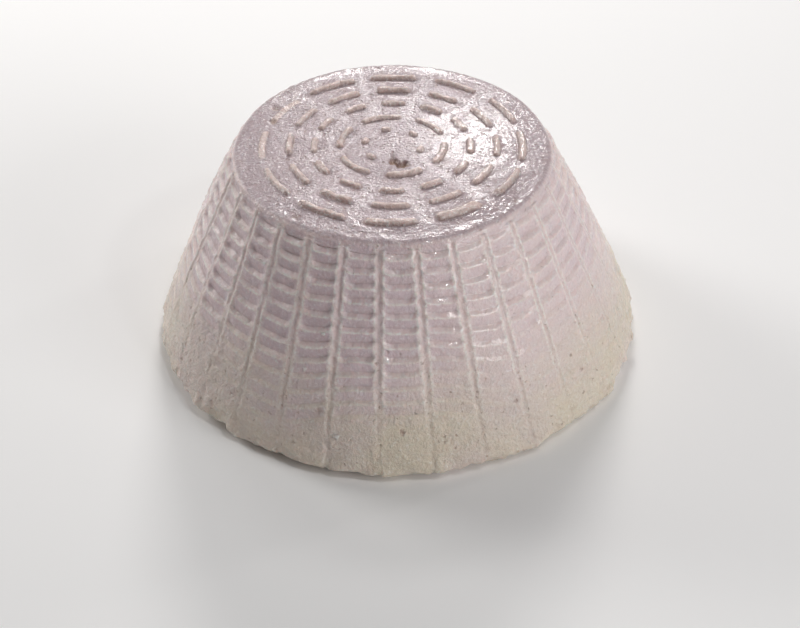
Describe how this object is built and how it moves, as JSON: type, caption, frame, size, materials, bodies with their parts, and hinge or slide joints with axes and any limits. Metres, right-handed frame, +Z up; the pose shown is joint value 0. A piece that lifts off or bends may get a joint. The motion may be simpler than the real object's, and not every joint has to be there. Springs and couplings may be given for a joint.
{
  "type": "unmoulded ricotta cheese",
  "caption": "low cone of fresh curd cheese turned out of its draining basket, with columns of overlapping pads on the wall and rings of raised bars on top",
  "frame": {"origin": "centre of the flat base the cheese stands on", "axes": "+Z up through the small top, -Y the front of the picture, +X to the right of the picture"},
  "size_m": [0.1802, 0.1802, 0.0815],
  "materials": {
    "curd": "soft, moist, slightly glossy"
  },
  "bodies": {
    "root": {"ricotta": "curd"}
  },
  "joints": []
}
